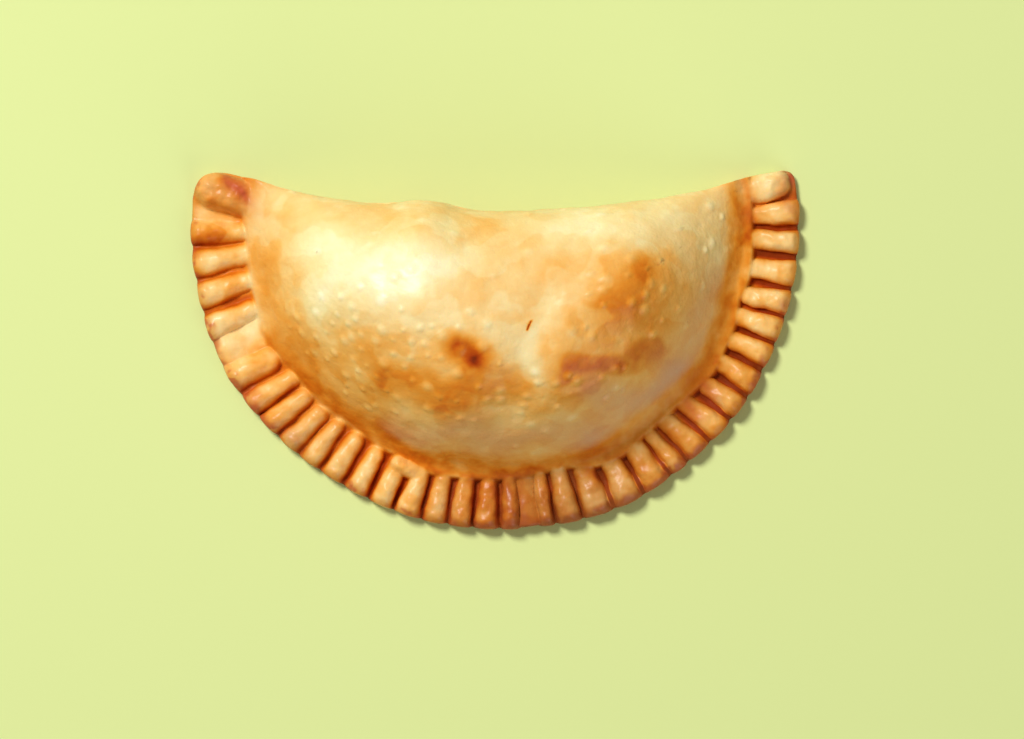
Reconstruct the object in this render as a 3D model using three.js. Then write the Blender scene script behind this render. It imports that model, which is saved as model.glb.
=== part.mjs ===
// A baked empanada lying flat: one disc of dough folded over its filling into a half moon.
// The round front edge is sealed by fork marks, which leave a row of finger-like ridges between them.
// Behind the ridges a shallow valley runs round the foot of the dome, and the dome rolls over at the
// back into the fold. Nothing of the filling shows, so the pastry is one closed solid.
//
// Millimetres and degrees. +Z is up, +X runs along the fold, and the crimped front faces -Y.
// The origin is the middle of the pastry's bounding box, on the surface that it lies on.
// An angle on the disc is measured at DISC_CENTRE from the front (0) round to the corners.

import * as THREE from "three";

// ---- The folded disc, seen from above ----
const DISC_RADIUS = 69.9; // of the round edge, at both corners
const FRONT_STRETCH = 1.6; // extra radius at the front, where the dough was pulled over the filling
const DISC_CENTRE = new THREE.Vector2(0, 30.2);
const CORNER_ANGLE = 99.5; // from the front round to each corner
// Half the length of edge that the corners are smoothed over. The left one is the rounder.
const LEFT_ROUNDING = 7.5;
const RIGHT_ROUNDING = 3.5;
const FOLD_MIDDLE_Y = 31.4; // the fold sags forward here, and its ends curve back to the corners
// Places where the round edge or the fold stands out (or in) from its plain curve.
const EDGE_SWELLS = [
  { angle: -62, rise: 0.8, spread: 8 },
  { angle: -30, rise: -0.6, spread: 9 },
  { angle: 24, rise: 1.1, spread: 13 },
  { angle: 52, rise: 0.6, spread: 12 },
];
const FOLD_SWELLS = [
  { x: -15.5, rise: 2.1, spread: 6.5 },
  { x: -59, rise: 1.2, spread: 7 },
  { x: 59, rise: 1.0, spread: 6 },
];

// ---- The crimped rim ----
const RIM_WIDTH = 14.6; // from the edge to the foot of the dome
const RIM_FLOOR = 2.0; // thickness of the two layers of dough where a fork mark presses them flat
const TIP_DEPTH = 0.4; // how much deeper the tips of the fork went in at that end
const VALLEY_HEIGHT = 4.2; // top of the dough between the ridges and the dome
const VALLEY_DIP = { angle: -38, rise: -1.2, spread: 24 }; // the valley is lower at the left front
const FOOT_HEIGHT = 4.8; // where the dome starts to rise
const RIDGE_RISE = 3.3; // of a ridge's crown above the floor of the marks
const RIDGE_FALL = 0.35; // share of that rise lost on the way to a ridge's inner tip
const RIDGE_REACH = 1.7; // how far a ridge's inner tip reaches past the marks beside it
const RIDGE_STOP = 1.4; // how much shorter a ridge is for each millimetre that the valley dips
const RIDGE_FILL = [1, 0.94]; // a ridge's width at its ends, as a share of the gap between two marks
const EDGE_ROLL = 2.6; // the ridges roll down to the edge over this distance
// Power of a ridge's section. The ridges at the left are rounder, and those past the front flatter.
const ROUND_SECTION = { power: 2.1, angle: -24 };
const FLAT_SECTION = { power: 3.2, angle: -4 };
// Places where the rim was pressed less deeply.
const FLOOR_SWELLS = [
  { angle: -63.8, rise: 0.4, spread: 3 },
  { angle: 6.3, rise: 2.0, spread: 2.8 },
];
const SCALLOP = 0.35; // how far the edge stands out at a ridge, compared with a mark
// One entry for each press of the fork, from the left corner to the right one: the angle of its first
// mark, the angle from one mark to the next, the number of marks, how far the inner ends of its first
// and last marks lean to the right, how wide each mark is, how much shallower it is at the edge, and
// its length from the edge in. Wide marks are a thumb's.
const PRESSES = [
  { first: -91.2, pitch: 0, marks: 1, leans: [2.1, 2.1], flat: 3.4, shallower: 0.4, length: 12.6 },
  { first: -84.3, pitch: 6.2, marks: 3, leans: [-0.2, -1.6], flat: 0.6, shallower: 0.2, length: 12.6 },
  { first: -63.8, pitch: 0, marks: 1, leans: [0.4, 0.4], flat: 4.8, shallower: 0.9, length: 12 },
  { first: -55.1, pitch: 5.1, marks: 4, leans: [1.0, 1.0], flat: 0.3, shallower: 0.3, length: 12.4 },
  { first: -34.9, pitch: 5.2, marks: 4, leans: [0.0, 1.3], flat: 0.3, shallower: 0, length: 12.4 },
  { first: -13.9, pitch: 4.9, marks: 4, leans: [0.5, 0.5], flat: 0.3, shallower: 0.2, length: 11.2 },
  { first: 6.5, pitch: 0, marks: 1, leans: [0.0, 0.0], flat: 3.2, shallower: 0, length: 11.2 },
  { first: 11.4, pitch: 5.0, marks: 2, leans: [0.2, 0.2], flat: 0.4, shallower: 0, length: 11.6 },
  { first: 22.4, pitch: 6.1, marks: 3, leans: [0.0, -1.3], flat: 0.4, shallower: 1.8, length: 10.8 },
  { first: 38.6, pitch: 5.4, marks: 4, leans: [-2.2, -0.2], flat: 0.5, shallower: 1.0, length: 10.4 },
  { first: 60.4, pitch: 5.35, marks: 4, leans: [-0.4, -1.5], flat: 0.5, shallower: 0.5, length: 10.6 },
  { first: 82.5, pitch: 5.7, marks: 3, leans: [-0.2, -0.2], flat: 0.8, shallower: 0.2, length: 10.8 },
];
const CLOSED_MARK = -19.3; // the inner half of this mark closed up again and joins its two ridges
// At each corner the end of the rim is folded over into one thicker flap.
const CORNER_FLAPS = [
  { outer: [-64.3, 36.3], inner: [-52.5, 33.4], radius: 4.4, rise: 4.4 },
  { outer: [64.4, 37.8], inner: [60.2, 36.7], radius: 3.4, rise: 3.6 },
];

// ---- The dome over the filling ----
const CREST_HEIGHT = 34.6; // in the middle of the pastry
const CREST_REACH = 42; // from the middle to each end of the crest
const CREST_FALL = 0.16; // share of that height lost on the way to the ends of the crest
const CREST_MIDDLE_Y = 5; // the crest is curved as the pastry is, with its ends towards the corners
const CREST_SWEEP = 18;
const FRONT_RUN = 33; // from the foot of the dome in to its full height
const FRONT_ROUNDNESS = 2.2; // a higher power makes the front steeper and the top flatter
const FRONT_STEEPNESS = 0.92; // a lower power makes the foot steeper
const FOLD_RUN = 27; // from the fold in to the full height
const FOLD_SHARE = 0.15; // the fold's widest point, as a share of the height above the foot
const FOLD_TUCK = 7.5; // how far the fold rolls in underneath
const RIM_TUCK = 2.0; // how far the rim's edge rolls in underneath
// Swells and hollows of the dough over the lumps of the filling.
const DOME_SWELLS = [
  { from: [-30, 10], to: [-16, 12], spread: 15, rise: 1.6 },
  { from: [-22, -11], to: [-10, -14], spread: 9, rise: 1.2 },
  { from: [33, 15], to: [37, 14], spread: 9, rise: 2.2 },
  { from: [18, -8], to: [32, -4], spread: 9, rise: 1.6 },
  { from: [-16, 27], to: [-14, 29], spread: 8, rise: 1.0 },
  { from: [11, 10], to: [1, -18], spread: 5, rise: -1.3 },
  { from: [-6.2, -0.5], to: [-6.2, -0.5], spread: 3, rise: -0.7 },
];

// ---- How finely the solid is faceted ----
const RIDGE_COLUMNS = [0, 0.08, 0.22, 0.4, 0.6, 0.78, 0.92]; // across one ridge
const WIDE_FLAT = 1; // only a mark wider than this, in degrees, gets columns of its own
const RIM_ROWS = [0.03, 0.09, 0.17, 0.3, 0.46, 0.6, 0.7, 0.76, 0.82, 0.88, 0.94, 1]; // from edge to foot
const DOME_ROWS = [0.06, 0.15, 0.27, 0.42, 0.6, 0.8, 1]; // from foot to crest
const FOLD_COLUMN_PITCH = 4.5;
const CORNER_COLUMN_PITCH = 2;
const DOME_COLUMN_PITCH = 3.6;
const FOLD_ROLL = 1.2; // the part of the fold's wall that the rim's rows of points cover
const CREST_WIDTH = 3; // the dome's rows of points close in on a strip of this half width

const { clamp, degToRad, radToDeg, lerp, smoothstep } = THREE.MathUtils;

// The same draw, from 0 to 1, every time for the same index and purpose.
function draw(index, purpose) {
  const value = Math.sin(index * 12.9898 + purpose * 78.233) * 43758.5453;
  return value - Math.floor(value);
}

function swell(distance, { rise, spread }) {
  return rise * Math.exp(-((distance / spread) ** 2));
}

function sum(values) {
  return values.reduce((total, value) => total + value, 0);
}

// Where a point lies beside a line from one end to the other: its distance, and the share along it.
function besideLine(point, from, to) {
  const line = to.clone().sub(from);
  const offset = point.clone().sub(from);
  const share = line.lengthSq() ? clamp(offset.dot(line) / line.lengthSq(), 0, 1) : 0;
  return { share, distance: offset.addScaledVector(line, -share).length() };
}

// ---- Outline: one walk along the round edge and back along the fold, in millimetres ----

const CORNER_X = DISC_RADIUS * Math.sin(degToRad(CORNER_ANGLE));
const CORNER_Y = DISC_CENTRE.y - DISC_RADIUS * Math.cos(degToRad(CORNER_ANGLE));
const ROUND_LENGTH = (DISC_RADIUS + FRONT_STRETCH / 2) * degToRad(2 * CORNER_ANGLE);
const FOLD_LENGTH = 2.04 * CORNER_X;
const WALK_LENGTH = ROUND_LENGTH + FOLD_LENGTH;

const angleAt = (walk) => CORNER_ANGLE * ((2 * walk) / ROUND_LENGTH - 1);
const walkAt = (angle) => (ROUND_LENGTH / 2) * (1 + angle / CORNER_ANGLE);
const foldXAt = (walk) => CORNER_X * (1 - (2 * (walk - ROUND_LENGTH)) / FOLD_LENGTH);
const onRoundEdge = (walk) => walk < ROUND_LENGTH;

function discPoint(radius, angle) {
  const turn = degToRad(angle);
  return new THREE.Vector2(Math.sin(turn), -Math.cos(turn)).multiplyScalar(radius).add(DISC_CENTRE);
}

function discRadius(angle) {
  const stretch = FRONT_STRETCH * Math.max(0, Math.cos(degToRad(angle)));
  return DISC_RADIUS + stretch + sum(EDGE_SWELLS.map((s) => swell(angle - s.angle, s)));
}

function foldY(x) {
  const sweep = (CORNER_Y - FOLD_MIDDLE_Y) * (x / CORNER_X) ** 2;
  return FOLD_MIDDLE_Y + sweep + sum(FOLD_SWELLS.map((s) => swell(x - s.x, s)));
}

function sharpEdge(walk) {
  const wrapped = (walk + WALK_LENGTH) % WALK_LENGTH;
  if (onRoundEdge(wrapped)) return discPoint(discRadius(angleAt(wrapped)), angleAt(wrapped));
  const x = foldXAt(wrapped);
  return new THREE.Vector2(x, foldY(x));
}

// The mean over a short stretch of the sharp outline, which rounds its corners.
function smoothEdge(walk) {
  const steps = 8;
  const rightwards = (1 + sharpEdge(walk).x / CORNER_X) / 2;
  const rounding = lerp(LEFT_ROUNDING, RIGHT_ROUNDING, rightwards);
  const mean = new THREE.Vector2();
  for (let i = 0; i <= steps; i++) {
    mean.add(sharpEdge(walk + lerp(-rounding, rounding, i / steps)));
  }
  return mean.divideScalar(steps + 1);
}

// ---- Foot of the dome ----

const STRAIGHT_ANGLE = 88; // up to here the foot lies straight inside the edge
const FOOT_CORNER_ANGLE = 96;
const STRAIGHT_X = 50;
const FOOT_CORNER = discPoint(DISC_RADIUS - RIM_WIDTH, FOOT_CORNER_ANGLE);

// Past the limit a value is squeezed, so that what reached the corner reaches the foot's corner.
function squeeze(value, limit, reach, footReach) {
  const past = Math.abs(value) - limit;
  if (past <= 0) return value;
  return Math.sign(value) * (limit + (past * (footReach - limit)) / (reach - limit));
}

function footPoint(walk) {
  if (onRoundEdge(walk)) {
    const angle = angleAt(walk);
    const footAngle = squeeze(angle, STRAIGHT_ANGLE, CORNER_ANGLE, FOOT_CORNER_ANGLE);
    const leaning = markAt(angle, "lean") * (1 - smoothstep(Math.abs(angle), STRAIGHT_ANGLE, CORNER_ANGLE));
    return discPoint(discRadius(angle) - RIM_WIDTH, footAngle + leaning);
  }
  const x = squeeze(foldXAt(walk), STRAIGHT_X, CORNER_X, FOOT_CORNER.x);
  const cornerInset = foldY(FOOT_CORNER.x) - FOOT_CORNER.y;
  const inset = lerp(FOLD_ROLL, cornerInset, (x / FOOT_CORNER.x) ** 4);
  return new THREE.Vector2(x, foldY(x) - inset);
}

// ---- Fork marks, and the ridges between them ----

const MARKS = PRESSES.flatMap(({ first, pitch, marks, leans, flat, shallower, length }) =>
  Array.from({ length: marks }, (_, i) => ({
    angle: first + i * pitch,
    lean: lerp(...leans, i / marks),
    length: length + lerp(-0.8, 0.8, draw(first + i, 3)),
    flat,
    shallower,
  })),
);

const GAPS = MARKS.slice(1).map((after, i) => ({
  start: MARKS[i].angle + MARKS[i].flat / 2,
  end: after.angle - after.flat / 2,
  length: (MARKS[i].length + after.length) / 2,
}));

// The lean or another size of the marks at an angle, which changes evenly from mark to mark.
function markAt(angle, size) {
  const next = MARKS.findIndex((mark) => mark.angle > angle);
  if (next < 0) return MARKS.at(-1)[size];
  if (next === 0) return MARKS[0][size];
  const [before, after] = [MARKS[next - 1], MARKS[next]];
  return lerp(before[size], after[size], (angle - before.angle) / (after.angle - before.angle));
}

const valleyDip = (angle) => swell(angle - VALLEY_DIP.angle, VALLEY_DIP);

function rimPoint(angle, distanceIn) {
  const walk = walkAt(angle);
  return smoothEdge(walk).lerp(footPoint(walk), distanceIn / RIM_WIDTH);
}

function sectionPower(angle) {
  const flatness = smoothstep(angle, ROUND_SECTION.angle, FLAT_SECTION.angle);
  return lerp(ROUND_SECTION.power, FLAT_SECTION.power, flatness);
}

function ridgeIn({ start, end, length: markLength }, index) {
  const middle = (start + end) / 2;
  const halfTurn = degToRad(end - start) / 2;
  const reach = RIDGE_REACH + RIDGE_STOP * valleyDip(middle) + lerp(-0.6, 0.6, draw(index, 1));
  const length = markLength + reach;
  const innerRadius = RIDGE_FILL[1] * halfTurn * (DISC_RADIUS - length);
  return {
    outer: rimPoint(middle, 0),
    inner: rimPoint(middle, length - innerRadius),
    outerRadius: RIDGE_FILL[0] * halfTurn * DISC_RADIUS,
    innerRadius,
    rise: RIDGE_RISE * lerp(0.84, 1.1, draw(index, 2)),
    power: sectionPower(middle),
  };
}

const FORK_RIDGES = GAPS.map(ridgeIn);

function closedMarkRidge() {
  const after = MARKS.findIndex((mark) => mark.angle > CLOSED_MARK - 0.1);
  const [left, right] = [FORK_RIDGES[after - 1], FORK_RIDGES[after]];
  return { ...left, outer: left.inner, inner: right.inner, outerRadius: left.innerRadius };
}

function cornerRidge({ outer, inner, radius, rise }) {
  return {
    outer: new THREE.Vector2(...outer),
    inner: new THREE.Vector2(...inner),
    outerRadius: radius,
    innerRadius: radius,
    rise,
    power: FLAT_SECTION.power,
  };
}

const RIDGES = [...FORK_RIDGES, closedMarkRidge(), ...CORNER_FLAPS.map(cornerRidge)];

// Height of the ridges above the floor of the marks: each one is a bar with a rounded top and a round
// inner end, and at its outer end it rolls down to the edge.
function ridgeHeight(point) {
  const heights = RIDGES.map(({ outer, inner, outerRadius, innerRadius, rise, power }) => {
    const { share, distance } = besideLine(point, outer, inner);
    const across = Math.min(1, distance / lerp(outerRadius, innerRadius, share));
    return rise * (1 - RIDGE_FALL * smoothstep(share, 0.3, 1)) * (1 - across ** power) ** 0.7;
  });
  const fromEdge = clamp((RIM_WIDTH + insideFoot(point)) / EDGE_ROLL, 0, 1);
  return Math.max(...heights) * Math.sqrt(1 - (1 - fromEdge) ** 2);
}

// ---- Height of the top of the dough over any point of the outline ----

function angleOnDisc(point) {
  return radToDeg(Math.atan2(point.x - DISC_CENTRE.x, DISC_CENTRE.y - point.y));
}

// How far a point lies inside the foot of the dome. It is negative over the rim.
function insideFoot(point) {
  return discRadius(angleOnDisc(point)) - RIM_WIDTH - point.distanceTo(DISC_CENTRE);
}

function rimHeight(point) {
  const angle = angleOnDisc(point);
  const fromEdge = RIM_WIDTH + insideFoot(point);
  const end = markAt(angle, "length");
  const lessDeep = sum(FLOOR_SWELLS.map((s) => swell(angle - s.angle, s)));
  const shallower = markAt(angle, "shallower") * (1 - smoothstep(fromEdge, 3, 8));
  const atEdge = Math.min(1, fromEdge / EDGE_ROLL);
  const deeper = TIP_DEPTH * smoothstep(fromEdge, 2, end - 1);
  const pressed = RIM_FLOOR + lessDeep + shallower * atEdge - deeper;
  const valley = VALLEY_HEIGHT + valleyDip(angle);
  const floor = lerp(pressed, valley, smoothstep(fromEdge, end - 0.7, end + 0.7));
  const base = lerp(floor, FOOT_HEIGHT, smoothstep(fromEdge, 12.6, RIM_WIDTH));
  return Math.max(base, RIM_FLOOR + ridgeHeight(point));
}

function domeSwell(point) {
  return sum(
    DOME_SWELLS.map((s) => {
      const { distance } = besideLine(point, new THREE.Vector2(...s.from), new THREE.Vector2(...s.to));
      return swell(distance, s);
    }),
  );
}

function domeHeight(point) {
  const fromFoot = clamp(insideFoot(point) / FRONT_RUN, 0, 1);
  const fromFold = clamp((foldY(point.x) - point.y) / FOLD_RUN, 0, 1);
  const front = (1 - (1 - fromFoot) ** FRONT_ROUNDNESS) ** FRONT_STEEPNESS;
  const back = lerp(FOLD_SHARE, 1, Math.sqrt(1 - (1 - fromFold) ** 2));
  const settled = smoothstep(fromFoot, 0, 0.3) * smoothstep(fromFold, 0, 0.3);
  const full = CREST_HEIGHT * (1 - CREST_FALL * (point.x / CREST_REACH) ** 2) - FOOT_HEIGHT;
  return FOOT_HEIGHT + full * front * back + domeSwell(point) * settled;
}

function topOver(point) {
  const height = insideFoot(point) > 0 ? domeHeight(point) : rimHeight(point);
  return new THREE.Vector3(point.x, point.y, height);
}

// ---- Columns: each runs from the underside over the edge, the rim and the dome to the crest ----

function evenSteps(from, to, pitch) {
  const count = Math.round((to - from) / pitch);
  return Array.from({ length: count }, (_, i) => lerp(from, to, i / count));
}

function gapColumns({ start, end }, index) {
  const across = RIDGE_COLUMNS.map((share) => lerp(start, end, share));
  const flat = MARKS[index + 1].flat;
  return (flat > WIDE_FLAT ? [...across, end, end + flat / 2] : across).map(walkAt);
}

const CORNER_STRETCH = 0.07 * FOLD_LENGTH;
const FOLD_WALKS = [
  ...evenSteps(ROUND_LENGTH, ROUND_LENGTH + CORNER_STRETCH, CORNER_COLUMN_PITCH),
  ...evenSteps(ROUND_LENGTH + CORNER_STRETCH, WALK_LENGTH - CORNER_STRETCH, FOLD_COLUMN_PITCH),
  ...evenSteps(WALK_LENGTH - CORNER_STRETCH, WALK_LENGTH, CORNER_COLUMN_PITCH),
];
const RIM_WALKS = [
  ...evenSteps(0, walkAt(GAPS[0].start), CORNER_COLUMN_PITCH),
  ...GAPS.flatMap(gapColumns),
  ...evenSteps(walkAt(MARKS.at(-1).angle), ROUND_LENGTH, CORNER_COLUMN_PITCH),
  ...FOLD_WALKS,
];
const DOME_WALKS = [...evenSteps(0, ROUND_LENGTH, DOME_COLUMN_PITCH), ...FOLD_WALKS];

// Where a column ends along the crest, from -1 at its left end to 1 at its right end.
function crestShare(walk) {
  if (onRoundEdge(walk)) return Math.sin(((angleAt(walk) / CORNER_ANGLE) * Math.PI) / 2);
  return foldXAt(walk) / CORNER_X;
}

function crestPoint(walk) {
  const along = crestShare(walk);
  const aside = (onRoundEdge(walk) ? -CREST_WIDTH : CREST_WIDTH) * (1 - along ** 2);
  return new THREE.Vector2(CREST_REACH * along, CREST_MIDDLE_Y + CREST_SWEEP * along ** 2 + aside);
}

// The edge, drawn in a little at each fork mark.
function scallopedEdge(walk) {
  const edge = smoothEdge(walk);
  const foot = footPoint(walk);
  const rim = 1 - smoothstep(insideFoot(edge), -4, 0);
  const ridge = Math.min(1, ridgeHeight(edge.clone().lerp(foot, 0.2)) / RIDGE_RISE);
  return edge.lerp(foot, (SCALLOP * rim * (1 - ridge)) / RIM_WIDTH);
}

// The flat underside's rim, the roll above it and the widest point.
function sideOf(walk) {
  const edge = scallopedEdge(walk);
  const inwards = crestPoint(walk).sub(edge).normalize();
  const rim = 1 - smoothstep(insideFoot(edge), -4, 0);
  const tuck = lerp(FOLD_TUCK, RIM_TUCK, rim);
  const widest = topOver(edge).z * lerp(1, 0.45, rim);
  const at = (inset, height) => {
    const point = edge.clone().addScaledVector(inwards, inset);
    return new THREE.Vector3(point.x, point.y, height);
  };
  return [at(tuck, 0), at(0.27 * tuck, 0.3 * widest), at(0, widest)];
}

// ---- The closed solid: rings of points, each joined to the next, with a cap below and above ----

function ringOf(walks, pointAt) {
  return walks.map((walk) => ({ walk, point: pointAt(walk) }));
}

function allRings() {
  const rimRow = (share) => (walk) => topOver(scallopedEdge(walk).lerp(footPoint(walk), share));
  const domeRow = (share) => (walk) => topOver(footPoint(walk).lerp(crestPoint(walk), share));
  return [
    ...[0, 1, 2].map((row) => ringOf(RIM_WALKS, (walk) => sideOf(walk)[row])),
    ...RIM_ROWS.map((share) => ringOf(RIM_WALKS, rimRow(share))),
    ...DOME_ROWS.map((share) => ringOf(DOME_WALKS, domeRow(share))),
  ];
}

// Triangles between two rows of corners. Each corner has its place along the row, and both rows are
// walked at once, so they may differ in their number of corners.
function joinRows(near, far) {
  const triangles = [];
  let [i, j] = [0, 0];
  while (i + 1 < near.length || j + 1 < far.length) {
    const nextNear = i + 1 < near.length ? near[i + 1].place : Infinity;
    const nextFar = j + 1 < far.length ? far[j + 1].place : Infinity;
    if (nextNear <= nextFar) {
      triangles.push([near[i].corner, near[i + 1].corner, far[j].corner]);
      i += 1;
    } else {
      triangles.push([near[i].corner, far[j + 1].corner, far[j].corner]);
      j += 1;
    }
  }
  return triangles;
}

function closedRow(ring) {
  const row = ring.map(({ walk, corner }) => ({ place: walk, corner }));
  return [...row, { place: WALK_LENGTH, corner: row[0].corner }];
}

// The flat underside: triangles over the lowest ring, facing down.
function underside(ring) {
  const outline = ring.map(({ point }) => new THREE.Vector2(point.x, point.y));
  return THREE.ShapeUtils.triangulateShape(outline, []).map(([a, b, c]) => [a, c, b]);
}

// The narrow top between the front half and the back half of the highest ring.
function crest(ring) {
  const row = ring.map(({ walk, corner }) => ({ walk, corner, place: crestShare(walk) }));
  const front = row.filter(({ walk }) => onRoundEdge(walk));
  const back = row.filter(({ walk }) => !onRoundEdge(walk)).reverse();
  return joinRows(front, back);
}

function solidFromRings(rings) {
  const points = rings.flat();
  points.forEach((point, corner) => Object.assign(point, { corner }));
  const bands = rings.slice(1).map((upper, i) => joinRows(closedRow(rings[i]), closedRow(upper)));
  const geometry = new THREE.BufferGeometry().setFromPoints(points.map(({ point }) => point));
  geometry.setIndex([...underside(rings[0]), ...bands.flat(), ...crest(rings.at(-1))].flat());
  return geometry;
}

// Moves the middle of the underside's bounding box to the origin.
function centred(geometry) {
  geometry.computeBoundingBox();
  const { min, max } = geometry.boundingBox;
  geometry.translate(-(min.x + max.x) / 2, -(min.y + max.y) / 2, -min.z);
  geometry.computeVertexNormals();
  return geometry;
}

const crust = new THREE.MeshStandardMaterial({ color: 0xe3a658, roughness: 0.45, metalness: 0 });
const pastry = new THREE.Mesh(centred(solidFromRings(allRings())), crust);
pastry.name = "pastry";

const empanada = new THREE.Group();
empanada.add(pastry);

export default empanada;
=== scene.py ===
# %% [markdown]
# # A baked empanada
#
# An empanada is one disc of dough folded over a filling. Its round edge is sealed with the tines of a
# fork, and it is brushed with egg and baked until it is golden.
#
# The frame is already made: one closed solid, named pastry, at its real size. This lesson gives it a
# finer skin of the same form, with the marks of the fork, the blisters of the oven and the colours of
# a baked crust. The shape functions count in millimetres, as a baker would, and the finished mesh is
# brought to Blender's metres.

import bpy
import numpy as np
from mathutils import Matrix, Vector


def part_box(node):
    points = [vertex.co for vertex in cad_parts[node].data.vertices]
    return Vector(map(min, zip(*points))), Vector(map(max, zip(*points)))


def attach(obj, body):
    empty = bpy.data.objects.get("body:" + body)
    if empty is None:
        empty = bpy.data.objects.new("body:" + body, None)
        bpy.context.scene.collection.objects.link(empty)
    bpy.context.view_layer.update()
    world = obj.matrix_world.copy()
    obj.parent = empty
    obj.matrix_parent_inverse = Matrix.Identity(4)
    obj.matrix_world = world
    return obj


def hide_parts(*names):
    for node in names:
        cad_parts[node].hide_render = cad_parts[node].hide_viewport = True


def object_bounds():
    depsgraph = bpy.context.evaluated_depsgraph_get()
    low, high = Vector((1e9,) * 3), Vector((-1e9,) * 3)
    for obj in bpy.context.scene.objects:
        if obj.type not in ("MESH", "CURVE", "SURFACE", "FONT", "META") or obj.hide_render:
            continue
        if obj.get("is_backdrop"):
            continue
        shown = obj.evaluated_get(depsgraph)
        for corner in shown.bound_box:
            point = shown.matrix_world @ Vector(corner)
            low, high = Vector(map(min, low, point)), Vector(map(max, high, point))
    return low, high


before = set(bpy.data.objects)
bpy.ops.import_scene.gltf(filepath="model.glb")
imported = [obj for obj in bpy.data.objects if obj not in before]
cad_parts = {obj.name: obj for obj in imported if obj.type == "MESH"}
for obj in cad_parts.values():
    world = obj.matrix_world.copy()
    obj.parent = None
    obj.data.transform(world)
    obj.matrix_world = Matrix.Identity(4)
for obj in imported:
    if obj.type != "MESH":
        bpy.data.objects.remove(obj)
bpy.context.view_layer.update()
solid_low, solid_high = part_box("pastry")
MM = 0.001
print("solid, mm:", [round(side / MM, 1) for side in solid_high - solid_low])

# %% [markdown]
# ## The folded disc
#
# Seen from above, the pastry is half of a disc. Its round edge is an arc that turns a little past the
# half circle, and its fold is a shallow curve between the two corners. Real dough is uneven, so both
# have swells: soft bumps with a place, a rise and a spread. They could be sculpted by hand, but named
# swells keep the skin and the solid the same.

# %% Sizes of the disc
DISC_RADIUS = 69.9
FRONT_STRETCH = 1.6
DISC_CENTRE = np.array([0, 30.2])
CORNER_ANGLE = 99.5
LEFT_ROUNDING = 7.5
RIGHT_ROUNDING = 3.5
FOLD_MIDDLE_Y = 31.4
EDGE_SWELLS = [(-62, 0.8, 8), (-30, -0.6, 9), (24, 1.1, 13), (52, 0.6, 12)]
FOLD_SWELLS = [(-15.5, 2.1, 6.5), (-59, 1.2, 7), (59, 1.0, 6)]


def swells_at(where, swells):
    return sum(rise * np.exp(-(((where - place) / spread) ** 2)) for place, rise, spread in swells)


def disc_point(radius, angle):
    turn = np.radians(angle)
    outwards = np.stack([np.sin(turn), -np.cos(turn)], -1)
    return DISC_CENTRE + outwards * np.asarray(radius)[..., None]


def disc_radius(angle):
    stretch = FRONT_STRETCH * np.maximum(0, np.cos(np.radians(angle)))
    return DISC_RADIUS + stretch + swells_at(angle, EDGE_SWELLS)


CORNER_X, CORNER_Y = disc_point(DISC_RADIUS, CORNER_ANGLE)


def fold_y(x):
    sweep = (CORNER_Y - FOLD_MIDDLE_Y) * (x / CORNER_X) ** 2
    return FOLD_MIDDLE_Y + sweep + swells_at(x, FOLD_SWELLS)


print("corner at", round(CORNER_X, 1), round(CORNER_Y, 1), "mm")

# %% [markdown]
# ## A walk round the edge
#
# Every column of the skin starts somewhere on the edge, so each place on the edge gets one number:
# the millimetres walked from the left corner, along the round edge to the right corner and back along
# the fold. The corners are rounded by taking the mean of a short stretch of the walk.

# %% The edge as one walk
ROUND_LENGTH = (DISC_RADIUS + FRONT_STRETCH / 2) * np.radians(2 * CORNER_ANGLE)
FOLD_LENGTH = 2.04 * CORNER_X
WALK_LENGTH = ROUND_LENGTH + FOLD_LENGTH


def mix(start, end, share):
    return start + (end - start) * share


def angle_at(walk):
    return CORNER_ANGLE * (2 * walk / ROUND_LENGTH - 1)


def walk_at(angle):
    return ROUND_LENGTH / 2 * (1 + angle / CORNER_ANGLE)


def fold_x_at(walk):
    return CORNER_X * (1 - 2 * (walk - ROUND_LENGTH) / FOLD_LENGTH)


def sharp_edge(walk):
    walk = walk % WALK_LENGTH
    round_edge = disc_point(disc_radius(angle_at(walk)), angle_at(walk))
    fold = np.stack([fold_x_at(walk), fold_y(fold_x_at(walk))], -1)
    return np.where((walk < ROUND_LENGTH)[:, None], round_edge, fold)


def smooth_edge(walk):
    rightwards = (1 + sharp_edge(walk)[:, 0] / CORNER_X) / 2
    rounding = mix(LEFT_ROUNDING, RIGHT_ROUNDING, rightwards)
    return np.mean([sharp_edge(walk + step * rounding) for step in np.linspace(-1, 1, 17)], 0)


print("walk round the edge:", round(WALK_LENGTH), "mm")

# %% [markdown]
# ## Fork marks
#
# A fork leaves three or four marks at each press, all one tine apart, and a thumb leaves one wide flat.
# Listing the presses, and not the marks, keeps the rhythm of a hand that moves on after each press.
# The dough between two marks stands up as a ridge.

# %% Sizes of the fork marks
PRESSES = [
    # first mark, pitch, marks, lean of the first and the last, width, how much shallower, length
    (-91.2, 0, 1, (2.1, 2.1), 3.4, 0.4, 12.6),
    (-84.3, 6.2, 3, (-0.2, -1.6), 0.6, 0.2, 12.6),
    (-63.8, 0, 1, (0.4, 0.4), 4.8, 0.9, 12),
    (-55.1, 5.1, 4, (1.0, 1.0), 0.3, 0.3, 12.4),
    (-34.9, 5.2, 4, (0.0, 1.3), 0.3, 0, 12.4),
    (-13.9, 4.9, 4, (0.5, 0.5), 0.3, 0.2, 11.2),
    (6.5, 0, 1, (0.0, 0.0), 3.2, 0, 11.2),
    (11.4, 5.0, 2, (0.2, 0.2), 0.4, 0, 11.6),
    (22.4, 6.1, 3, (0.0, -1.3), 0.4, 1.8, 10.8),
    (38.6, 5.4, 4, (-2.2, -0.2), 0.5, 1.0, 10.4),
    (60.4, 5.35, 4, (-0.4, -1.5), 0.5, 0.5, 10.6),
    (82.5, 5.7, 3, (-0.2, -0.2), 0.8, 0.2, 10.8),
]


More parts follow.
